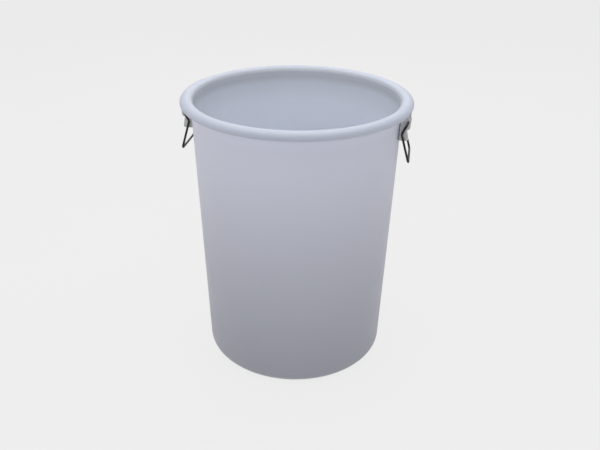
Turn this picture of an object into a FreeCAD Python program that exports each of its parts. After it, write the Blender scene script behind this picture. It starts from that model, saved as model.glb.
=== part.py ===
import FreeCAD, Part

import math
import os

import Sketcher
from FreeCAD import Placement, Rotation, Vector

# Open head plastic drum with two wire bails.
# Millimetres, +Z up.  The origin is the centre of the foot ring on the floor.
# The bails hang on the +X side (right) and on the -X side (left).

DIMENSIONS = (
    ("drum_height", 650.0, "floor to the crown of the rim"),
    ("base_radius", 213.3, "outer wall line carried down to the floor"),
    ("draft", 2.41, "slope of the wall, degrees from vertical"),
    ("wall_thick", 4.5, "side wall"),
    ("floor_thick", 6.0, "drum floor"),
    ("corner_radius", 35.0, "outer radius between floor and wall"),
    ("foot_radius", 160.0, "inner edge of the foot ring"),
    ("foot_ramp", 14.0, "width of the ramp inside the foot ring"),
    ("foot_rise", 4.0, "height of the raised centre"),
    ("bead_radius", 249.3, "centre of the rim bead"),
    ("bead_half_width", 14.65, "rim bead, half its width"),
    ("bead_half_height", 10.75, "rim bead, half its height"),
    ("bead_fillet", 3.0, "fillet between rim bead and the outside of the wall"),
    ("mouth_fillet", 20.0, "fillet between rim bead and the inside of the wall"),
    ("seat_gap", 0.15, "gap under plates that sit on the wall"),
    ("sheet_thick", 2.5, "steel sheet of the ear bracket"),
    ("ear_span", 82.5, "ear bracket, outside of cheek to outside of cheek"),
    ("ear_bottom", 569.5, "lower end of the ear bracket"),
    ("ear_top", 626.0, "upper end of the ear bracket"),
    ("ear_lobe_foot", 258.5, "hinge lobe, just above the step"),
    ("ear_lobe_reach", 261.5, "hinge lobe, at its upper end"),
    ("ear_step", 596.0, "height of the step under the hinge lobe"),
    ("ear_waist_reach", 252.5, "cheek just under the step"),
    ("ear_foot_reach", 257.0, "cheek at its lower end"),
    ("ear_corner", 4.0, "rounding of the cheek corners"),
    ("ear_waist_round", 2.5, "rounding under the hinge lobe"),
    ("bend_inside", 1.5, "inside radius of the bend between web and cheek"),
    ("bend_outside", 3.0, "outside radius of the bend between web and cheek"),
    ("ear_web_angle", 19.5, "angle that the bracket web spans, degrees"),
    ("hinge_reach", 254.4, "bail hinge axis, distance from the drum axis"),
    ("hinge_height", 612.5, "bail hinge axis, height"),
    ("hinge_clearance", 0.05, "radial clearance of the wire in its hole"),
    ("wire_radius", 2.5, "bail wire"),
    ("bail_span", 96.0, "bail leg centre to leg centre"),
    ("bail_end", 31.0, "inner end of the hinge ends, from the middle"),
    ("knee_reach", 241.4, "knee of the bail leg, from the drum axis"),
    ("knee_height", 586.8, "knee of the bail leg, height"),
    ("grip_reach", 260.4, "bail grip, from the drum axis"),
    ("grip_height", 520.3, "bail grip, height"),
    ("hinge_bend", 5.0, "bend radius at the hinge ends"),
    ("knee_bend", 10.0, "bend radius at the knees"),
    ("grip_bend", 8.0, "bend radius at the grip corners"),
    ("plate_thick", 2.0, "backing plate"),
    ("plate_bottom", 569.5, "backing plate, lower end"),
    ("plate_top", 585.5, "backing plate, upper end"),
    ("plate_angle", 16.6, "angle that the backing plate spans, degrees"),
    ("plate_corner", 5.0, "rounding of the backing plate corners"),
    ("bolt_radius", 3.0, "bolt shank"),
    ("bolt_hole_radius", 3.25, "clearance holes for the bolts"),
    ("bolt_step", 4.4, "angle between neighbouring bolts, degrees"),
    ("bolt_row", 577.5, "height of the row of bolts"),
    ("bolt_head_radius", 5.25, "button head"),
    ("bolt_head_height", 3.3, "button head"),
    ("bolt_head_round", 2.4, "rounding of the button head"),
    ("bolt_tail", 14.6, "end of the shank, inward of the outer wall"),
    ("bolt_end_chamfer", 0.6, "chamfer at the end of the shank"),
    ("socket_radius", 2.3, "hexagon socket, centre to corner"),
    ("socket_depth", 2.0, "hexagon socket"),
    ("nut_radius", 5.77, "hexagon nut, centre to corner"),
    ("nut_height", 5.6, "nut with its flange"),
    ("nut_flange_radius", 6.6, "flange of the nut"),
    ("nut_flange_height", 1.3, "flange of the nut"),
    ("nut_bore_radius", 3.05, "bore of the nut"),
    ("nut_slope", 30.0, "slope of the turned corners of the nut, degrees"),
    ("nut_edge", 4.9, "radius where the turned corners start"),
    ("face_gap", 0.12, "gap between flat faces and curved plates"),
    ("cut_margin", 5.0, "how far cutters run past the piece"),
)

SIDES = {"right": 0.0, "left": 180.0}
BOLT_STEPS = {"1": -1.5, "2": -0.5, "3": 0.5, "4": 1.5}
MATCH = 0.05  # how closely an edge's place has to match to be picked

doc = FreeCAD.newDocument("open_head_drum")
sheet = doc.addObject("Spreadsheet::Sheet", "dims")
for row, (alias, value, meaning) in enumerate(DIMENSIONS, start=1):
    sheet.set(f"A{row}", meaning)
    sheet.set(f"B{row}", str(value))
    sheet.setAlias(f"B{row}", alias)
doc.recompute()


def dim(alias):
    """The value of one cell of the sheet."""
    return float(getattr(sheet, alias))


def wall_at(height):
    """Expression for the outer wall radius at a height given as an expression."""
    return f"(dims.base_radius + ({height}) * tan(dims.draft * 1 deg))"


def value_of(expression):
    """The number that an expression on the sheet gives."""
    return float(sheet.evalExpression(expression))


# ---------------------------------------------------------------- helpers


def new_body(name, turn=0.0):
    """A part design body that is turned about the drum axis."""
    body = doc.addObject("PartDesign::Body", name)
    body.Label = name
    body.Placement = Placement(Vector(), Rotation(Vector(0, 0, 1), turn))
    return body


def origin_feature(body, role):
    """One of the body's own origin planes or axes."""
    return next(item for item in body.Origin.OriginFeatures if item.Role == role)


def new_sketch(body, name, role="XZ_Plane"):
    """A sketch on one of the body's origin planes."""
    sketch = body.newObject("Sketcher::SketchObject", name)
    sketch.AttachmentSupport = [(origin_feature(body, role), "")]
    sketch.MapMode = "FlatFace"
    return sketch


def tie_point(sketch, curve, end, across, up):
    """Tie one end of a curve to two expressions, measured from the origin."""
    for kind, expression in (("DistanceX", across), ("DistanceY", up)):
        value = value_of(expression)
        if value == 0.0:
            axis = -2 if kind == "DistanceX" else -1
            sketch.addConstraint(Sketcher.Constraint("PointOnObject", curve, end, axis))
            continue
        rule = Sketcher.Constraint(kind, -1, 1, curve, end, value)
        number = sketch.addConstraint(rule)
        sketch.setExpression(f"Constraints[{number}]", expression)


def outline(body, name, corners, role="XZ_Plane"):
    """A closed outline of straight lines whose corners are pairs of expressions."""
    sketch = new_sketch(body, name, role)
    points = [Vector(value_of(across), value_of(up), 0) for across, up in corners]
    for start, end in zip(points, points[1:] + points[:1]):
        sketch.addGeometry(Part.LineSegment(start, end))
    count = len(points)
    for line in range(count):
        sketch.addConstraint(Sketcher.Constraint("Coincident", line, 2, (line + 1) % count, 1))
    for line, (across, up) in enumerate(corners):
        tie_point(sketch, line, 1, across, up)
    return sketch


def revolve(body, name, sketch, angle="360", cut=False):
    """Turn a sketch about the drum axis, centred on its own plane."""
    kind = "PartDesign::Groove" if cut else "PartDesign::Revolution"
    feature = body.newObject(kind, name)
    feature.Profile = sketch
    feature.ReferenceAxis = (sketch, ["V_Axis"])
    feature.Midplane = True
    feature.setExpression("Angle", f"({angle}) * 1 deg")
    return feature


def round_edges(body, name, radius, wanted):
    """Fillet the edges of the body's tip for which wanted(edge) is true."""
    doc.recompute()
    tip = body.Tip
    names = [f"Edge{n}" for n, edge in enumerate(tip.Shape.Edges, start=1) if wanted(edge)]
    if not names:
        raise RuntimeError(f"{name}: no edges found")
    fillet = body.newObject("PartDesign::Fillet", name)
    fillet.Base = (tip, names)
    fillet.setExpression("Radius", radius)
    return fillet


def ring_edge(edge, radius, height):
    """Whether an edge is the circle about the drum axis at a radius and height."""
    if not hasattr(edge.Curve, "Radius"):
        return False
    box = edge.BoundBox
    level = box.ZLength < MATCH and abs(box.ZMin - height) < MATCH
    return level and abs(edge.Curve.Radius - radius) < MATCH


def primitive(body, kind, name, place, sizes):
    """A part design primitive whose sizes are bound to the sheet."""
    feature = body.newObject(f"PartDesign::{kind}", name)
    for prop, expression in sizes.items():
        feature.setExpression(prop, expression)
    feature.Placement = place
    return feature


def wall_place(azimuth, height, turn=0.0):
    """A place on the outer wall with its local +Z along the outward normal."""
    radius = value_of(wall_at(str(height)))
    lean = Rotation(Vector(0, 1, 0), 90.0 + dim("draft"))
    spin = Rotation(Vector(0, 0, 1), azimuth + turn)
    return Placement(spin.multVec(Vector(radius, 0, height)), spin.multiply(lean))


def bolt_places(turn=0.0):
    """Number and place of each bolt in the row of one bracket."""
    places = {}
    for name, steps in BOLT_STEPS.items():
        places[name] = wall_place(steps * dim("bolt_step"), dim("bolt_row"), turn)
    return places


def drill_bolt_holes(body, turn=0.0, tag=""):
    """Clearance holes through whatever lies on the wall at the bolts."""
    for name, place in bolt_places(turn).items():
        start = place.multiply(Placement(Vector(0, 0, -dim("bolt_tail")), Rotation()))
        sizes = {"Radius": "dims.bolt_hole_radius", "Height": "2 * dims.bolt_tail"}
        primitive(body, "SubtractiveCylinder", f"hole_{tag}{name}", start, sizes)


# ---------------------------------------------------------------- drum body


def make_drum_body():
    """Wall, floor and rim bead, moulded in one piece."""
    body = new_body("drum_body")
    bead_height = "dims.drum_height - dims.bead_half_height"
    inner_ramp = "dims.foot_radius - dims.foot_ramp"
    raised = "dims.floor_thick + dims.foot_rise"
    corners = (
        ("0", "dims.foot_rise"),
        (inner_ramp, "dims.foot_rise"),
        ("dims.foot_radius", "0"),
        ("dims.base_radius", "0"),
        (wall_at(bead_height), bead_height),
        (wall_at(bead_height) + " - dims.wall_thick", bead_height),
        (wall_at("dims.floor_thick") + " - dims.wall_thick", "dims.floor_thick"),
        ("dims.foot_radius", "dims.floor_thick"),
        (inner_ramp, raised),
        ("0", raised),
    )
    revolve(body, "shell", outline(body, "shell_outline", corners))

    inside_corner = value_of(wall_at("dims.floor_thick")) - dim("wall_thick")
    round_edges(body, "outer_corner", "dims.corner_radius",
                lambda edge: ring_edge(edge, dim("base_radius"), 0.0))
    round_edges(body, "inner_corner", "dims.corner_radius - dims.wall_thick",
                lambda edge: ring_edge(edge, inside_corner, dim("floor_thick")))

    revolve(body, "rim_bead", bead_outline(body, bead_height))
    round_edges(body, "bead_fillet", "dims.bead_fillet",
                lambda edge: under_bead(edge) and not inside_wall(edge))
    round_edges(body, "mouth_fillet", "dims.mouth_fillet",
                lambda edge: under_bead(edge) and inside_wall(edge))

    for name, turn in SIDES.items():
        drill_bolt_holes(body, turn, f"{name}_")
    return body


def bead_outline(body, bead_height):
    """The oval section of the rim bead."""
    sketch = new_sketch(body, "bead_outline")
    middle = Vector(dim("bead_radius"), value_of(bead_height), 0)
    oval = Part.Ellipse(middle, dim("bead_half_width"), dim("bead_half_height"))
    sketch.addGeometry(oval)
    sketch.exposeInternalGeometry(0)
    tie_point(sketch, 0, 3, "dims.bead_radius", bead_height)
    sketch.addConstraint(Sketcher.Constraint("Horizontal", 1))
    for line, half in ((1, "dims.bead_half_width"), (2, "dims.bead_half_height")):
        rule = Sketcher.Constraint("Distance", line, 2 * dim(half.split(".")[1]))
        number = sketch.addConstraint(rule)
        sketch.setExpression(f"Constraints[{number}]", f"2 * {half}")
    return sketch


def under_bead(edge):
    """Whether an edge is where the wall runs into the lower half of the bead."""
    box = edge.BoundBox
    below = dim("drum_height") - dim("bead_half_height") - box.ZMin
    return box.ZLength < MATCH and MATCH < below < dim("bead_half_height")


def inside_wall(edge):
    """Whether an edge near the rim lies inside the middle of the wall."""
    middle = value_of(wall_at("dims.drum_height")) - dim("wall_thick") / 2.0
    return edge.BoundBox.XMax < middle


# ---------------------------------------------------------------- ear bracket


def make_ear_bracket(side, turn):
    """Folded steel ear: a web on the wall and two cheeks that carry the bail."""
    body = new_body(f"ear_bracket_{side}", turn)
    buried = wall_at("dims.ear_bottom") + " - 2 * dims.cut_margin"
    cheek = (
        (buried, "dims.ear_bottom"),
        ("dims.ear_foot_reach", "dims.ear_bottom"),
        ("dims.ear_waist_reach", "dims.ear_step"),
        ("dims.ear_lobe_foot", "dims.ear_step"),
        ("dims.ear_lobe_reach", "dims.ear_top"),
        (buried, "dims.ear_top"),
    )
    block = body.newObject("PartDesign::Pad", "cheek_block")
    block.Profile = outline(body, "cheek_outline", cheek)
    block.Midplane = True
    block.setExpression("Length", "dims.ear_span")
    round_edges(body, "cheek_corners", "dims.ear_corner", cheek_corner)
    round_edges(body, "cheek_waist", "dims.ear_waist_round", cheek_waist)

    space = body.newObject("PartDesign::Pocket", "cheek_space")
    space.Profile = outline(body, "space_outline", gap_corners(buried))
    space.Midplane = True
    space.setExpression("Length", "dims.ear_span - 2 * dims.sheet_thick")

    web = wall_strip("dims.ear_bottom", "dims.ear_top", "dims.seat_gap",
                     "dims.seat_gap + dims.sheet_thick")
    revolve(body, "web", outline(body, "web_outline", web), "dims.ear_web_angle")
    wall = wall_strip("dims.ear_bottom - dims.cut_margin", "dims.ear_top + dims.cut_margin",
                      "-4 * dims.cut_margin", "dims.seat_gap")
    revolve(body, "wall_seat", outline(body, "seat_outline", wall), cut=True)
    round_edges(body, "outside_bends", "dims.bend_outside", outside_bend)
    round_edges(body, "inside_bends", "dims.bend_inside", inside_bend)

    start = Vector(dim("hinge_reach"), dim("ear_span"), dim("hinge_height"))
    along = Placement(start, Rotation(Vector(1, 0, 0), 90))
    bore = {"Radius": "dims.wire_radius + dims.hinge_clearance", "Height": "2 * dims.ear_span"}
    primitive(body, "SubtractiveCylinder", "hinge_bore", along, bore)
    drill_bolt_holes(body)
    return body


def wall_strip(low, high, inner, outer):
    """Corners of a strip beside the wall, between two heights and two offsets."""
    return (
        (f"{wall_at(low)} + {inner}", low),
        (f"{wall_at(low)} + {outer}", low),
        (f"{wall_at(high)} + {outer}", high),
        (f"{wall_at(high)} + {inner}", high),
    )


def gap_corners(buried):
    """A rectangle that clears everything between the cheeks."""
    inner = f"{buried} - dims.cut_margin"
    outer = "dims.ear_lobe_reach + dims.cut_margin"
    low = "dims.ear_bottom - dims.cut_margin"
    high = "dims.ear_top + dims.cut_margin"
    return ((inner, low), (outer, low), (outer, high), (inner, high))


def cheek_edge_reach(edge):
    """How far out an edge lies that runs across both cheeks, or 0 for other edges."""
    box = edge.BoundBox
    across = box.YLength > dim("ear_span") - MATCH and box.ZLength < MATCH
    return box.XMin if across else 0.0


def cheek_corner(edge):
    """Whether an edge is an outward corner of the cheeks."""
    return cheek_edge_reach(edge) > (dim("ear_waist_reach") + dim("ear_foot_reach")) / 2.0


def bend_edge(edge, aside):
    """Whether an edge runs up the bracket beside the wall, that far to either side."""
    box = edge.BoundBox
    upright = box.ZLength > dim("ear_top") - dim("ear_bottom") - MATCH
    beside = abs(abs(box.Center.y) - aside) < MATCH
    web_face = value_of(wall_at("dims.ear_top")) + dim("seat_gap") + dim("sheet_thick")
    return upright and beside and box.XMax < web_face


def outside_bend(edge):
    """Whether an edge is the sharp corner between the wall side and a cheek's outside."""
    return bend_edge(edge, dim("ear_span") / 2.0)


def inside_bend(edge):
    """Whether an edge is the corner between the web and a cheek's inside."""
    return bend_edge(edge, dim("ear_span") / 2.0 - dim("sheet_thick"))


def cheek_waist(edge):
    """Whether an edge is the inward corner under the hinge lobe."""
    return abs(cheek_edge_reach(edge) - dim("ear_waist_reach")) < MATCH


# ---------------------------------------------------------------- backing plate


def make_backing_plate(side, turn):
    """Curved steel plate inside the drum that spreads the pull of the bolts."""
    body = new_body(f"backing_plate_{side}", turn)
    inner = "-dims.wall_thick - dims.seat_gap"
    strip = wall_strip("dims.plate_bottom", "dims.plate_top", f"{inner} - dims.plate_thick", inner)
    revolve(body, "plate", outline(body, "plate_outline", strip), "dims.plate_angle")
    round_edges(body, "plate_corners", "dims.plate_corner", plate_corner)
    drill_bolt_holes(body)
    return body


def plate_corner(edge):
    """Whether an edge is one of the plate's four short corner edges."""
    return edge.Length < dim("plate_thick") + MATCH


# ---------------------------------------------------------------- fasteners


def make_bolt(name, place):
    """Button head bolt; local +Z points out of the drum, 0 is the outer wall."""
    body = new_body(name)
    seat = "(dims.seat_gap + dims.sheet_thick + dims.face_gap)"
    corners = (
        ("0", "-dims.bolt_tail"),
        ("dims.bolt_radius - dims.bolt_end_chamfer", "-dims.bolt_tail"),
        ("dims.bolt_radius", "dims.bolt_end_chamfer - dims.bolt_tail"),
        ("dims.bolt_radius", seat),
        ("dims.bolt_head_radius", seat),
        ("dims.bolt_head_radius", f"{seat} + dims.bolt_head_height"),
        ("0", f"{seat} + dims.bolt_head_height"),
    )
    revolve(body, "turned", outline(body, "bolt_outline", corners))
    top = value_of(f"{seat} + dims.bolt_head_height")
    round_edges(body, "button", "dims.bolt_head_round",
                lambda edge: ring_edge(edge, dim("bolt_head_radius"), top))
    start = Placement(Vector(0, 0, top - dim("socket_depth")), Rotation())
    socket = {"Circumradius": "dims.socket_radius", "Height": "dims.socket_depth + dims.cut_margin"}
    primitive(body, "SubtractivePrism", "socket", start, socket)
    body.Placement = place
    return body


def make_nut(name, place):
    """Flanged hexagon nut on the backing plate, inside the drum."""
    body = new_body(name)
    seat = "(dims.wall_thick + dims.seat_gap + dims.plate_thick + dims.face_gap)"
    top = Placement(Vector(0, 0, -value_of(seat)), Rotation(Vector(1, 0, 0), 180))
    flange = {"Radius": "dims.nut_flange_radius", "Height": "dims.nut_flange_height"}
    primitive(body, "AdditiveCylinder", "flange", top, flange)
    hexagon = {"Circumradius": "dims.nut_radius", "Height": "dims.nut_height"}
    primitive(body, "AdditivePrism", "hexagon", top, hexagon)

    face = f"-({seat} + dims.nut_height)"
    outside = "dims.nut_radius + dims.cut_margin"
    rise = f"({outside} - dims.nut_edge) * tan(dims.nut_slope * 1 deg)"
    turned = (
        ("dims.nut_edge", face),
        (outside, face),
        (outside, f"{face} + {rise}"),
    )
    revolve(body, "turned", outline(body, "chamfer_outline", turned), cut=True)
    bore = {"Radius": "dims.nut_bore_radius", "Height": "2 * dims.nut_height"}
    primitive(body, "SubtractiveCylinder", "bore", top, bore)
    body.Placement = place
    return body


# ---------------------------------------------------------------- bails


def rounded_path(points, radii):
    """A wire through the points, with an arc of the given radius at each bend."""
    edges = []
    last = points[0]
    for before, corner, after, radius in zip(points, points[1:], points[2:], radii):
        back = (before - corner).normalize()
        ahead = (after - corner).normalize()
        half = back.getAngle(ahead) / 2.0
        trim = radius / math.tan(half)
        middle = corner + (back + ahead).normalize() * (radius / math.sin(half) - radius)
        start = corner + back * trim
        end = corner + ahead * trim
        edges.append(Part.LineSegment(last, start).toShape())
        edges.append(Part.Arc(start, middle, end).toShape())
        last = end
    edges.append(Part.LineSegment(last, points[-1]).toShape())
    return Part.Wire(edges)


def bail_route():
    """Centre line of the bail from one hinge end round the grip to the other."""
    leg = dim("bail_span") / 2.0
    hinge = (dim("hinge_reach"), dim("hinge_height"))
    knee = (dim("knee_reach"), dim("knee_height"))
    grip = (dim("grip_reach"), dim("grip_height"))
    half = [Vector(hinge[0], dim("bail_end"), hinge[1])]
    half += [Vector(reach, leg, height) for reach, height in (hinge, knee, grip)]
    other = [Vector(point.x, -point.y, point.z) for point in reversed(half)]
    bends = [dim("hinge_bend"), dim("knee_bend"), dim("grip_bend")]
    return rounded_path(half + other, bends + bends[::-1])


def make_bail(side, turn):
    """Bent wire handle, a round section swept along its centre line."""
    path = doc.addObject("Part::Feature", f"bail_path_{side}")
    path.Shape = bail_route()

    section = doc.addObject("Part::Circle", f"bail_section_{side}")
    section.setExpression("Radius", "dims.wire_radius")
    start = Vector(dim("hinge_reach"), dim("bail_end"), dim("hinge_height"))
    section.Placement = Placement(start, Rotation(Vector(1, 0, 0), -90))

    bail = doc.addObject("Part::Sweep", f"bail_{side}")
    bail.Label = f"bail_{side}"
    bail.Sections = [section]
    bail.Spine = (path, [f"Edge{n}" for n in range(1, len(path.Shape.Edges) + 1)])
    bail.Solid = True
    bail.Frenet = False
    bail.Placement = Placement(Vector(), Rotation(Vector(0, 0, 1), turn))
    return bail


# ---------------------------------------------------------------- assembly

subparts = [make_drum_body()]
for side, turn in SIDES.items():
    subparts.append(make_ear_bracket(side, turn))
    subparts.append(make_backing_plate(side, turn))
    subparts.append(make_bail(side, turn))
    for spot, place in bolt_places(turn).items():
        subparts.append(make_bolt(f"bolt_{side}_{spot}", place))
        subparts.append(make_nut(f"nut_{side}_{spot}", place))
doc.recompute()

for item in doc.Objects:
    if "Invalid" in item.State or "Error" in item.State:
        raise RuntimeError(f"{item.Label} failed: {item.State}")
for item in subparts:
    shape = item.Shape
    if shape.isNull() or not shape.isValid() or len(shape.Solids) != 1:
        raise RuntimeError(f"{item.Label} has no single valid solid")

os.makedirs("parts", exist_ok=True)
for item in subparts:
    item.Shape.exportStep(f"parts/{item.Label}.step")
    print(f"{item.Label}: {item.Shape.Volume / 1000.0:.2f} cm3")
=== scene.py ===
import math

import bpy
import bmesh
from mathutils import Matrix, Vector, noise


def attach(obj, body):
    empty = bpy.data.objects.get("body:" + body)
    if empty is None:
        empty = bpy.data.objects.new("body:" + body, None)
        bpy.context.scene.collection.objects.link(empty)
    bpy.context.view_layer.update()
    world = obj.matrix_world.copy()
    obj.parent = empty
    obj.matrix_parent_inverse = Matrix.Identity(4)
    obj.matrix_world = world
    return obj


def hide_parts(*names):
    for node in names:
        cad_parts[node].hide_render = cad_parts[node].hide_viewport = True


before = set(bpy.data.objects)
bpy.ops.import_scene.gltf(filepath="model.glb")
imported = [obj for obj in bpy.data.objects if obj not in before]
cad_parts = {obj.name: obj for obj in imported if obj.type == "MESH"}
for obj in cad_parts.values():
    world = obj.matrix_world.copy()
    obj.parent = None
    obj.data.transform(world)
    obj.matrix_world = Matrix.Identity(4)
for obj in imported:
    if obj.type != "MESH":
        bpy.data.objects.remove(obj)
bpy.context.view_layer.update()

# Plastic open head drum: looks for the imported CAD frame.  Metres, +Z up.
# The bails hang on +X (right) and -X (left).

MM = 0.001
SIDES = {"right": 1.0, "left": -1.0}

# ------------------------------------------------------------ object sizes
# The same driving dimensions as the CAD model.  HINGE, KNEE and GRIP are (x, z) points of
# the bail's centre line.

DRUM_HEIGHT = 650 * MM
BASE_RADIUS = 213.3 * MM
DRAFT = math.radians(2.41)
WALL_THICK = 4.5 * MM
FLOOR_THICK = 6 * MM
CORNER_RADIUS = 35 * MM
FOOT_RADIUS = 160 * MM
FOOT_RAMP = 14 * MM
FOOT_RISE = 4 * MM
BEAD_RADIUS = 249.3 * MM
BEAD_HALF_WIDTH = 14.65 * MM
BEAD_HALF_HEIGHT = 10.75 * MM
BEAD_HEIGHT = DRUM_HEIGHT - BEAD_HALF_HEIGHT
BEAD_FILLET = 3 * MM
MOUTH_FILLET = 20 * MM

HINGE = (254.4 * MM, 612.5 * MM)
KNEE = (241.4 * MM, 586.8 * MM)
GRIP = (260.4 * MM, 520.3 * MM)
WIRE_RADIUS = 2.5 * MM
BAIL_SPAN = 96 * MM
BAIL_END = 31 * MM
HINGE_BEND = 5 * MM
KNEE_BEND = 10 * MM
GRIP_BEND = 8 * MM


# Mesh fineness, and how far the moulded skin stays inside the ideal shape.
DRUM_SEGMENTS = 288
BEAD_STEPS = 72
CORNER_STEPS = 20
SKIN_INSET = 0.1 * MM
UNEVENNESS = 0.25 * MM


def wall_radius(height):
    """Outer radius of the drum wall at a height."""
    return BASE_RADIUS + height * math.tan(DRAFT)


def corner_centre(rounding):
    """Distance from the drum axis to the centre of the round between floor and wall."""
    return BASE_RADIUS - rounding * math.tan((math.pi / 2 - DRAFT) / 2)


# ------------------------------------------------------------ mesh helpers


def new_object(name, mesh):
    """Link a mesh to the scene as an object of the same name."""
    thing = bpy.data.objects.new(name, mesh)
    bpy.context.scene.collection.objects.link(thing)
    return thing


def shade_smooth(thing):
    """Smooth shading on every face."""
    for face in thing.data.polygons:
        face.use_smooth = True


def arc(centre, radius, start, end, steps):
    """Points on a circular arc in the (r, z) plane, angles in degrees."""
    points = []
    for step in range(steps + 1):
        angle = math.radians(start + (end - start) * step / steps)
        points.append((centre[0] + radius * math.cos(angle), centre[1] + radius * math.sin(angle)))
    return points


def stretch(start, end, spacing):
    """Evenly spaced points between two (r, z) points, both ends included."""
    length = math.dist(start, end)
    steps = max(1, round(length / spacing))
    return [
        (start[0] + (end[0] - start[0]) * n / steps, start[1] + (end[1] - start[1]) * n / steps)
        for n in range(steps + 1)
    ]


def lathe(name, profile, segments, shift):
    """Turn an (r, z) profile about Z; shift(r, z, angle) gives the moved (r, z)."""
    mesh = bpy.data.meshes.new(name)
    points, faces, rings = [], [], []
    for radius, height in profile:
        if radius < 1e-6:
            rings.append([len(points)])
            points.append((0.0, 0.0, height))
            continue
        ring = []
        for n in range(segments):
            angle = math.tau * n / segments
            moved_r, moved_z = shift(radius, height, angle)
            ring.append(len(points))
            points.append((moved_r * math.cos(angle), moved_r * math.sin(angle), moved_z))
        rings.append(ring)
    for low, high in zip(rings, rings[1:]):
        for n in range(segments):
            after = (n + 1) % segments
            if len(low) == 1:
                faces.append((low[0], high[after], high[n]))
            elif len(high) == 1:
                faces.append((low[n], low[after], high[0]))
            else:
                faces.append((low[n], low[after], high[after], high[n]))
    mesh.from_pydata(points, [], faces)
    mesh.validate()
    thing = new_object(name, mesh)
    shade_smooth(thing)
    return thing


# ------------------------------------------------------------ materials


class Paint:
    """A small helper to build one node material."""

    def __init__(self, name):
        self.material = bpy.data.materials.new(name)
        self.material.use_nodes = True
        self.tree = self.material.node_tree
        self.tree.nodes.clear()
        self.output = self.node("ShaderNodeOutputMaterial")
        self.shader = self.node("ShaderNodeBsdfPrincipled")
        self.link(self.shader.outputs["BSDF"], self.output.inputs["Surface"])
        self.place = self.node("ShaderNodeTexCoord").outputs["Object"]

    def node(self, kind, **settings):
        made = self.tree.nodes.new(kind)
        for key, value in settings.items():
            setattr(made, key, value)
        return made

    def link(self, source, target):
        self.tree.links.new(source, target)

    def feed(self, target, value):
        """Give a socket a plain value or link another socket to it."""
        if isinstance(value, bpy.types.NodeSocket):
            self.link(value, target)
        else:
            target.default_value = value

    def set(self, name, value):
        self.feed(self.shader.inputs[name], value)

    def math(self, operation, first, second=0.0, clamp=False):
        made = self.node("ShaderNodeMath", operation=operation, use_clamp=clamp)
        self.feed(made.inputs[0], first)
        self.feed(made.inputs[1], second)
        return made.outputs[0]

    def scaled(self, scale):
        """Object coordinates stretched by a factor on each axis."""
        made = self.node("ShaderNodeMapping")
        made.inputs["Scale"].default_value = scale
        self.link(self.place, made.inputs["Vector"])
        return made.outputs[0]

    def noise(self, scale, detail=4.0, roughness=0.5, at=None, distortion=0.0):
        made = self.node("ShaderNodeTexNoise")
        made.inputs["Scale"].default_value = scale
        made.inputs["Detail"].default_value = detail
        made.inputs["Roughness"].default_value = roughness
        made.inputs["Distortion"].default_value = distortion
        self.link(at or self.place, made.inputs["Vector"])
        return made.outputs["Fac"]

    def span(self, value, low, high, out_low=0.0, out_high=1.0):
        """Map a value range to another, clamped."""
        made = self.node("ShaderNodeMapRange")
        made.clamp = True
        self.feed(made.inputs["Value"], value)
        for key, number in (("From Min", low), ("From Max", high),
                            ("To Min", out_low), ("To Max", out_high)):
            made.inputs[key].default_value = number
        return made.outputs["Result"]

    def mix(self, factor, first, second):
        made = self.node("ShaderNodeMix", data_type="RGBA")
        self.feed(made.inputs[0], factor)
        self.feed(made.inputs[6], first)
        self.feed(made.inputs[7], second)
        return made.outputs[2]

    def ramp(self, value, stops):
        made = self.node("ShaderNodeValToRGB")
        self.feed(made.inputs[0], value)
        elements = made.color_ramp.elements
        while len(elements) < len(stops):
            elements.new(0.5)
        for element, (position, colour) in zip(elements, stops):
            element.position = position
            element.color = colour
        return made.outputs[0]

    def height(self):
        """The object's Z coordinate."""
        made = self.node("ShaderNodeSeparateXYZ")
        self.link(self.place, made.inputs[0])
        return made.outputs["Z"]

    def bump(self, value, strength, distance, before=None):
        made = self.node("ShaderNodeBump")
        made.inputs["Strength"].default_value = strength
        made.inputs["Distance"].default_value = distance
        self.feed(made.inputs["Height"], value)
        if before is not None:
            self.link(before, made.inputs["Normal"])
        return made.outputs["Normal"]

    def use(self, thing):
        """Put this material on an object in place of whatever it has."""
        thing.data.materials.clear()
        thing.data.materials.append(self.material)


def grey(level, tint=(1.0, 1.0, 1.0)):
    """An opaque colour of one level with an optional tint."""
    return (level * tint[0], level * tint[1], level * tint[2], 1.0)


# Red, green and blue of the plastic relative to its grey level: milky and a little blue.
PLASTIC_TINT = (0.896, 0.920, 1.070)
# The inside and bead tints are painted light: the same plastic tinted by the light on those zones.
INSIDE_TINT = (0.880, 0.920, 1.015)
BEAD_TINT = (0.868, 0.925, 1.105)

# Grey levels of the milky plastic at parts of the drum height, from foot to rim, with light and
# shade painted in: a painted glow on the thin wall where light passes through it, none on the solid
# bead.
BEAD_LEVEL = 0.505
OUTSIDE_PAINTED_LIGHT_LEVELS = (
    (0.00, 0.25), (0.05, 0.33),  # rounded foot, darkened as painted shade
    (0.45, 0.46), (0.76, 0.59), (0.92, 0.65),  # wall, painted brighter towards the mouth
    (0.95, 0.70), (0.96, 0.70),  # painted glow just under the rim
    (0.966, 0.43), (0.983, BEAD_LEVEL),  # painted shade under the bead, then the bead's face
)
INSIDE_PAINTED_LIGHT_LEVELS = (
    (0.80, 0.84), (0.87, 0.80), (0.94, 0.68),  # inner wall, painted brighter lower down
    (0.965, 0.52),  # painted shade in the thick corner where the wall meets the bead
    (0.982, 0.65), (0.991, 0.475),  # inner lip painted lighter, top of the bead painted darker
)


def painted_light_ramp(paint, levels, tint):
    """Plastic colour with painted light and shade up the height of the drum."""
    colours = []
    for stop, level in levels:
        colours.append((stop, grey(level, BEAD_TINT if level == BEAD_LEVEL else tint)))
    return paint.ramp(paint.span(paint.height(), 0.0, DRUM_HEIGHT), colours)


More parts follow.
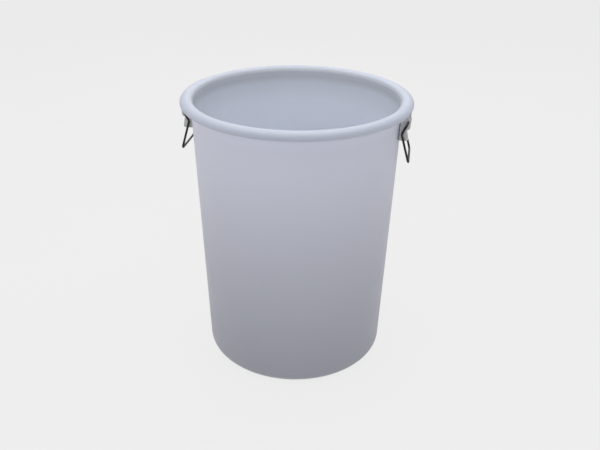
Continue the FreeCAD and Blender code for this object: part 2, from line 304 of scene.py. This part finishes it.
def inside_mask(paint):
    """1 on the inner faces of the drum, 0 on the outer ones."""
    flat = paint.node("ShaderNodeVectorMath", operation="LENGTH")
    paint.link(paint.scaled((1.0, 1.0, 0.0)), flat.inputs[0])
    height, skin = paint.height(), WALL_THICK / 2
    lean = paint.math("MULTIPLY", height, math.tan(DRAFT))
    upright = paint.math("SUBTRACT", flat.outputs["Value"], lean)
    within = paint.math("LESS_THAN", upright, BASE_RADIUS - skin)
    above = paint.math("GREATER_THAN", height, FLOOR_THICK - 1 * MM)

    centre = corner_centre(CORNER_RADIUS)
    outward = paint.math("MAXIMUM", paint.math("SUBTRACT", upright, centre), 0.0)
    downward = paint.math("MAXIMUM", paint.math("SUBTRACT", CORNER_RADIUS, height), 0.0)
    reach = paint.math("ADD", paint.math("MULTIPLY", outward, outward),
                       paint.math("MULTIPLY", downward, downward))
    rounded = paint.math("LESS_THAN", reach, (CORNER_RADIUS - skin) ** 2)
    above_round = paint.math("GREATER_THAN", height, CORNER_RADIUS)
    rounded = paint.math("MAXIMUM", rounded, above_round)
    return paint.math("MULTIPLY", paint.math("MULTIPLY", within, above), rounded)


def drum_plastic():
    """Milky polyethylene: waxy sheen, faint flow clouds, scuffs and handling marks."""
    paint = Paint("drum_plastic")
    height = paint.height()
    # Base colour: the plastic levels with their painted light and shade, outside and inside.
    body = paint.mix(inside_mask(paint), painted_light_ramp(paint, OUTSIDE_PAINTED_LIGHT_LEVELS, PLASTIC_TINT),
                     painted_light_ramp(paint, INSIDE_PAINTED_LIGHT_LEVELS, INSIDE_TINT))
    clouds = paint.noise(5.0, 3.0, 0.5, at=paint.scaled((1.0, 1.0, 0.35)))
    clouded = paint.mix(paint.span(clouds, 0.35, 0.65, 0.0, 0.06), body,
                        grey(0.50, (0.93, 0.94, 1.02)))
    specks = paint.noise(160.0, 2.0, 0.6)
    speckled = paint.mix(paint.span(specks, 0.70, 0.80, 0.0, 0.10), clouded, grey(0.35))
    scuffs = paint.noise(38.0, 6.0, 0.7, at=paint.scaled((1.0, 1.0, 0.12)), distortion=0.4)
    low_down = paint.span(height, 0.02, 0.16, 1.0, 0.25)
    marks = paint.math("MULTIPLY", paint.span(scuffs, 0.60, 0.74), low_down)
    paint.set("Base Color", paint.mix(paint.math("MULTIPLY", marks, 0.10), speckled, grey(0.33)))

    handling = paint.noise(14.0, 5.0, 0.6)
    rough = paint.span(handling, 0.3, 0.7, 0.40, 0.52)
    paint.set("Roughness", paint.math("ADD", rough, paint.math("MULTIPLY", marks, 0.10)))
    paint.set("IOR", 1.51)
    paint.set("Subsurface Weight", 0.25)
    paint.set("Subsurface Radius", (1.0, 1.0, 1.0))
    paint.set("Subsurface Scale", 6 * MM)

    grain = paint.noise(900.0, 2.0, 0.5)
    waves = paint.noise(7.0, 2.0, 0.5, at=paint.scaled((1.0, 1.0, 0.5)))
    soft = paint.bump(waves, 0.35, 1.2 * MM)
    fine = paint.bump(grain, 0.10, 0.10 * MM, before=soft)
    paint.set("Normal", paint.bump(marks, 0.15, 0.08 * MM, before=fine))
    return paint


def galvanised(name, level, roughness, spangle):
    """Zinc on sheet steel: spangle and dull oxide."""
    paint = Paint(name)
    cells = paint.node("ShaderNodeTexVoronoi")
    cells.inputs["Scale"].default_value = spangle
    paint.link(paint.place, cells.inputs["Vector"])
    crystal = paint.node("ShaderNodeSeparateColor")
    paint.link(cells.outputs["Color"], crystal.inputs[0])
    tone = paint.span(crystal.outputs[0], 0.0, 1.0, level * 0.88, level * 1.10)
    oxide = paint.noise(90.0, 6.0, 0.65)
    dull = paint.span(oxide, 0.45, 0.70)
    shade = paint.node("ShaderNodeCombineColor")
    for channel, tint in zip(range(3), (0.99, 1.0, 1.02)):
        paint.feed(shade.inputs[channel], paint.math("MULTIPLY", tone, tint))
    paint.set("Base Color", paint.mix(paint.math("MULTIPLY", dull, 0.35), shade.outputs[0],
                                      grey(level * 0.62)))
    paint.set("Metallic", paint.span(dull, 0.0, 1.0, 0.80, 0.45))
    varied = paint.span(crystal.outputs[1], 0.0, 1.0, roughness - 0.07, roughness + 0.07)
    paint.set("Roughness", paint.math("ADD", varied, paint.math("MULTIPLY", dull, 0.18)))
    pits = paint.noise(600.0, 3.0, 0.6)
    paint.set("Normal", paint.bump(pits, 0.25, 0.12 * MM))
    return paint


def bail_enamel():
    """Black stoved enamel on wire, worn to steel where it rubs."""
    paint = Paint("bail_enamel")
    chips = paint.noise(420.0, 5.0, 0.7)
    height = paint.height()
    at_hinge = paint.span(height, HINGE[1] - 7 * MM, HINGE[1], 0.0, 1.0)
    at_grip = paint.span(height, GRIP[1], GRIP[1] + 6 * MM, 0.5, 0.0)
    rubbed = paint.math("ADD", at_hinge, at_grip, clamp=True)
    worn = paint.math("MULTIPLY", paint.span(chips, 0.52, 0.60), rubbed)
    dust = paint.span(paint.noise(60.0, 4.0, 0.6), 0.4, 0.7, 0.0, 0.25)
    black = paint.mix(dust, grey(0.006, (1.0, 1.0, 1.1)), grey(0.025))
    paint.set("Base Color", paint.mix(worn, black, grey(0.42)))
    paint.set("Metallic", paint.math("MULTIPLY", worn, 0.9))
    paint.set("Roughness", paint.span(chips, 0.3, 0.7, 0.38, 0.56))
    paint.set("Specular IOR Level", 0.30)
    paint.set("Coat Weight", 0.05)
    paint.set("Coat Roughness", 0.25)
    orange_peel = paint.noise(700.0, 2.0, 0.5)
    peel = paint.bump(orange_peel, 0.20, 0.08 * MM)
    paint.set("Normal", paint.bump(worn, 0.30, -0.10 * MM, before=peel))
    return paint


def floor_paint():
    """Pale light table: glows evenly, so no cast shadow shows, but its glow fades out under the drum
    as painted shadow.
    """
    paint = Paint("studio_floor")
    cloud = paint.noise(1.3, 3.0, 0.5)
    paint.set("Base Color", paint.mix(paint.span(cloud, 0.3, 0.7, 0.0, 1.0), grey(0.05), grey(0.055)))
    paint.set("Roughness", 0.9)
    paint.set("Specular IOR Level", 0.0)
    outward = paint.node("ShaderNodeVectorMath", operation="LENGTH")
    paint.link(paint.place, outward.inputs[0])
    # The glow fades to nothing under the drum's rounded foot: a painted contact shadow.
    painted_shadow_ring = (BASE_RADIUS - CORNER_RADIUS, BASE_RADIUS - CORNER_RADIUS / 2)
    paint.set("Emission Color", grey(1.0))
    paint.set("Emission Strength", paint.span(outward.outputs["Value"], *painted_shadow_ring, 0.0, 0.80))
    return paint


# ------------------------------------------------------------ drum body


def drum_profile():
    """The (r, z) section of the drum, from the middle of the underside to the floor inside."""
    slope = math.degrees(DRAFT)
    ramp_inner = FOOT_RADIUS - FOOT_RAMP
    outer_centre = (corner_centre(CORNER_RADIUS), CORNER_RADIUS)
    wall_low = outer_centre[1] + CORNER_RADIUS * math.sin(-DRAFT)

    profile = stretch((0.0, FOOT_RISE), (ramp_inner, FOOT_RISE), 12 * MM)
    profile += stretch((ramp_inner, FOOT_RISE), (FOOT_RADIUS, 0.0), 4 * MM)[1:]
    profile += stretch((FOOT_RADIUS, 0.0), (outer_centre[0], 0.0), 5 * MM)[1:]
    profile += arc(outer_centre, CORNER_RADIUS, -90.0, -slope, CORNER_STEPS)[1:]

    under, first = bead_join(BEAD_FILLET, 1)
    profile += stretch((wall_radius(wall_low), wall_low), under[0], 9 * MM)[1:]
    profile += under[1:]
    inside, last = bead_join(MOUTH_FILLET, -1)
    round_bead = last + math.tau - first
    for step in range(1, BEAD_STEPS):
        profile.append(tuple(bead_point(first + round_bead * step / BEAD_STEPS)))
    profile += inside[::-1]

    inner_radius = CORNER_RADIUS - WALL_THICK
    inner_shift = wall_radius(FLOOR_THICK) - WALL_THICK - BASE_RADIUS
    inner_centre = (corner_centre(inner_radius) + inner_shift, FLOOR_THICK + inner_radius)
    inner_low = inner_centre[1] + inner_radius * math.sin(-DRAFT)
    start = inside[0]
    profile += stretch(start, (wall_radius(inner_low) - WALL_THICK, inner_low), 9 * MM)[1:]
    profile += arc(inner_centre, inner_radius, -slope, -90.0, CORNER_STEPS)[1:]
    raised = FLOOR_THICK + FOOT_RISE
    profile += stretch(profile[-1], (FOOT_RADIUS, FLOOR_THICK), 5 * MM)[1:]
    profile += stretch((FOOT_RADIUS, FLOOR_THICK), (ramp_inner, raised), 4 * MM)[1:]
    profile += stretch((ramp_inner, raised), (0.0, raised), 12 * MM)[1:]
    return profile


def bead_point(turn):
    """A point on the oval rim bead; turn is the angle in radians."""
    return Vector((
        BEAD_RADIUS + BEAD_HALF_WIDTH * math.cos(turn),
        BEAD_HEIGHT + BEAD_HALF_HEIGHT * math.sin(turn),
    ))


def bead_join(radius, side):
    """Fillet arc from the wall to the underside of the bead, and the bead angle it ends at.

    side is 1 on the outside of the wall and -1 on the inside."""
    wall_normal = Vector((math.cos(DRAFT), -math.sin(DRAFT))) * side
    wall_point = Vector((BASE_RADIUS - (0.0 if side > 0 else WALL_THICK), 0.0))

    def centre_at(turn):
        outward = Vector((math.cos(turn) / BEAD_HALF_WIDTH, math.sin(turn) / BEAD_HALF_HEIGHT))
        return bead_point(turn) + outward.normalized() * radius

    # Halve the range of bead angles until the arc also touches the wall.
    near, far = math.radians(-130 - 20 * side), math.radians(-90 + 85 * side)
    for _ in range(50):
        turn = (near + far) / 2
        if (centre_at(turn) - wall_point).dot(wall_normal) < radius:
            near = turn
        else:
            far = turn
    centre = centre_at(turn)
    start = -wall_normal * radius
    end = bead_point(turn) - centre
    sweep = start.angle_signed(end)
    curve = []
    for step in range(9):
        angle = -sweep * step / 8
        spin = Matrix.Rotation(angle, 2)
        curve.append(tuple(centre + spin @ start))
    return curve, turn


def make_drum():
    """The moulded drum, slightly uneven as real mouldings are."""

    def shift(radius, height, angle):
        where = Vector((math.cos(angle) * 1.3, math.sin(angle) * 1.3, height * 3.0))
        drift = noise.noise(where) * UNEVENNESS
        return radius - SKIN_INSET - abs(drift), height

    drum = lathe("drum_shell", drum_profile(), DRUM_SEGMENTS, shift)
    drum_plastic().use(drum)
    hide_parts("drum_body")
    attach(drum, "drum")


# ------------------------------------------------------------ bails


def rounded_route(corners, radii, steps):
    """Points along a route whose corners are rounded with arcs."""
    route = [corners[0]]
    for before, corner, after, radius in zip(corners, corners[1:], corners[2:], radii):
        back = (before - corner).normalized()
        ahead = (after - corner).normalized()
        half = back.angle(ahead) / 2
        trim = radius / math.tan(half)
        centre = corner + (back + ahead).normalized() * (radius / math.sin(half))
        start = corner + back * trim - centre
        end = corner + ahead * trim - centre
        sweep = start.angle(end)
        for step in range(steps + 1):
            part = step / steps
            first = math.sin((1 - part) * sweep) / math.sin(sweep)
            second = math.sin(part * sweep) / math.sin(sweep)
            route.append(centre + start * first + end * second)
    route.append(corners[-1])
    return route


def tube(name, route, radius_at, sides):
    """A closed tube along a route; radius_at(n) gives the radius at each point."""
    made = bmesh.new()
    rings = []
    across = None
    for n, point in enumerate(route):
        ahead = route[min(n + 1, len(route) - 1)] - route[max(n - 1, 0)]
        ahead.normalize()
        if across is None:
            across = ahead.orthogonal().normalized()
        across = (across - ahead * across.dot(ahead)).normalized()
        other = ahead.cross(across)
        ring = []
        for side in range(sides):
            angle = math.tau * side / sides
            offset = across * math.cos(angle) + other * math.sin(angle)
            ring.append(made.verts.new(point + offset * radius_at(n)))
        rings.append(ring)
    for low, high in zip(rings, rings[1:]):
        for side in range(sides):
            after = (side + 1) % sides
            made.faces.new((low[side], low[after], high[after], high[side]))
    made.faces.new(rings[0][::-1])
    made.faces.new(rings[-1])
    bmesh.ops.recalc_face_normals(made, faces=made.faces)
    mesh = bpy.data.meshes.new(name)
    made.to_mesh(mesh)
    made.free()
    thing = new_object(name, mesh)
    shade_smooth(thing)
    return thing


def bail_corners(way):
    """Corner points of the bail's centre line on one side of the drum."""
    leg = BAIL_SPAN / 2
    half = [Vector((way * HINGE[0], BAIL_END, HINGE[1]))]
    half += [Vector((way * reach, leg, height)) for reach, height in (HINGE, KNEE, GRIP)]
    return half + [Vector((point.x, -point.y, point.z)) for point in reversed(half)]


def make_bail(side, way):
    """One bent wire bail with rounded cut ends; way is the sign of its X."""
    bends = [HINGE_BEND, KNEE_BEND, GRIP_BEND]
    route = rounded_route(bail_corners(way), bends + bends[::-1], 10)
    round_off = 0.9 * MM
    start, end = route[0], route[-1]
    inward = (route[1] - route[0]).normalized()
    outward = (route[-2] - route[-1]).normalized()
    head = [start + inward * round_off * part for part in (0.0, 0.15, 0.45, 1.0)]
    tail = [end + outward * round_off * part for part in (1.0, 0.45, 0.15, 0.0)]
    route = head + route[1:-1] + tail
    shrink = {0: 0.62, 1: 0.82, 2: 0.95}

    def radius_at(n):
        return WIRE_RADIUS * shrink.get(min(n, len(route) - 1 - n), 1.0)

    bail = tube(f"bail_wire_{side}", route, radius_at, 24)
    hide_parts(f"bail_{side}")
    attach(bail, f"bail_{side}")
    return bail


# ------------------------------------------------------------ CAD nodes that stay


def refine(thing, width):
    """Soften the sharp edges of a CAD node without changing its mesh."""
    shade_smooth(thing)
    bevel = thing.modifiers.new("edge_softening", "BEVEL")
    bevel.width = width
    bevel.segments = 2
    bevel.limit_method = "ANGLE"
    bevel.angle_limit = math.radians(40)
    bevel.harden_normals = True


def dress_hardware():
    """Materials and edge softening of the steel parts."""
    bracket = galvanised("bracket_zinc", 0.50, 0.50, 170.0)
    bolt = galvanised("bolt_zinc", 0.55, 0.34, 400.0)
    inner = galvanised("inner_stainless", 0.70, 0.30, 500.0)
    for name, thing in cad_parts.items():
        if name.startswith("ear_bracket"):
            bracket.use(thing)
            refine(thing, 0.35 * MM)
        elif name.startswith("bolt"):
            bolt.use(thing)
            refine(thing, 0.15 * MM)
        elif name.startswith(("nut", "backing_plate")):
            inner.use(thing)
            refine(thing, 0.15 * MM)


# ------------------------------------------------------------ studio
# The camera stands CAMERA_DISTANCE from the drum's axis, CAMERA_TURN to the right of -Y.

CAMERA_TURN = math.radians(8.8)
CAMERA_DISTANCE = 1.7191
CAMERA_HEIGHT = 1.1696
CAMERA_PITCH = 0.4590
CAMERA_YAW = 0.0061
CAMERA_ROLL = 0.0128
CAMERA_LENS = 47.01


def make_camera():
    """Camera in front, above the rim, turned a little towards the right bail."""
    data = bpy.data.cameras.new("camera")
    data.sensor_width = 36.0
    data.lens = CAMERA_LENS
    camera = new_object("camera", data)
    heading = CAMERA_YAW - CAMERA_TURN
    ahead = Vector((
        math.sin(heading) * math.cos(CAMERA_PITCH),
        math.cos(heading) * math.cos(CAMERA_PITCH),
        -math.sin(CAMERA_PITCH),
    ))
    level = Vector((math.cos(heading), -math.sin(heading), 0.0))
    upward = level.cross(ahead)
    right = level * math.cos(CAMERA_ROLL) + upward * math.sin(CAMERA_ROLL)
    top = upward * math.cos(CAMERA_ROLL) - level * math.sin(CAMERA_ROLL)
    place = Vector((
        CAMERA_DISTANCE * math.sin(CAMERA_TURN),
        -CAMERA_DISTANCE * math.cos(CAMERA_TURN),
        CAMERA_HEIGHT,
    ))
    turn = Matrix((right, top, -ahead)).transposed()
    camera.matrix_world = Matrix.Translation(place) @ turn.to_4x4()
    bpy.context.scene.camera = camera


# The studio floor is flat out to this radius, then rises to this height.
FLOOR_FLAT = 40.0
FLOOR_LIP = 4.4
FLOOR_SIDES = 96


def make_floor():
    """A wide pale floor under the drum, turned up at its far edge."""
    rings = [(FLOOR_FLAT, 0.0), (FLOOR_FLAT * 1.2, FLOOR_LIP * 0.2), (FLOOR_FLAT * 1.5, FLOOR_LIP)]
    points = []
    for radius, height in rings:
        for step in range(FLOOR_SIDES):
            angle = math.tau * step / FLOOR_SIDES
            points.append((radius * math.cos(angle), radius * math.sin(angle), height))
    faces = [tuple(range(FLOOR_SIDES))]
    for ring in range(len(rings) - 1):
        base = ring * FLOOR_SIDES
        for step in range(FLOOR_SIDES):
            start, after = base + step, base + (step + 1) % FLOOR_SIDES
            faces.append((start, after, after + FLOOR_SIDES, start + FLOOR_SIDES))
    mesh = bpy.data.meshes.new("studio_floor")
    mesh.from_pydata(points, [], faces)
    floor = new_object("studio_floor", mesh)
    floor_paint().use(floor)


def area_light(name, place, target, size, power):
    """A square soft box that faces a target."""
    data = bpy.data.lights.new(name, "AREA")
    data.shape = "SQUARE"
    data.size = size
    data.energy = power
    light = new_object(name, data)
    light.location = place
    light.rotation_mode = "QUATERNION"
    light.rotation_quaternion = (Vector(target) - Vector(place)).to_track_quat("-Z", "Y")
    light.visible_camera = False


def make_light():
    """Even soft light from all round, a little stronger from behind and overhead."""
    world = bpy.data.worlds.new("studio")
    world.use_nodes = True
    background = world.node_tree.nodes["Background"]
    background.inputs["Color"].default_value = (1.0, 1.0, 1.0, 1.0)
    background.inputs["Strength"].default_value = 0.52
    bpy.context.scene.world = world
    middle = (0.0, 0.0, 0.45)
    foot, low = (0.0, 0.0, 0.0), (0.0, 0.0, 0.4)
    area_light("overhead", (0.0, 0.0, 2.6), foot, 2.6, 41.0)
    area_light("back_high", (-0.3, 2.3, 2.2), middle, 2.0, 17.0)
    area_light("front", (0.3, -2.6, 1.5), middle, 1.5, 7.5)
    area_light("left", (-2.4, -0.6, 1.4), low, 1.5, 4.5)
    view = bpy.context.scene.view_settings
    view.view_transform = "Standard"
    view.look = "None"
    view.exposure = 0.0
    view.gamma = 1.0


# ------------------------------------------------------------ assembly

make_drum()
enamel = bail_enamel()
for side, way in SIDES.items():
    enamel.use(make_bail(side, way))
dress_hardware()
make_floor()
make_light()
make_camera()
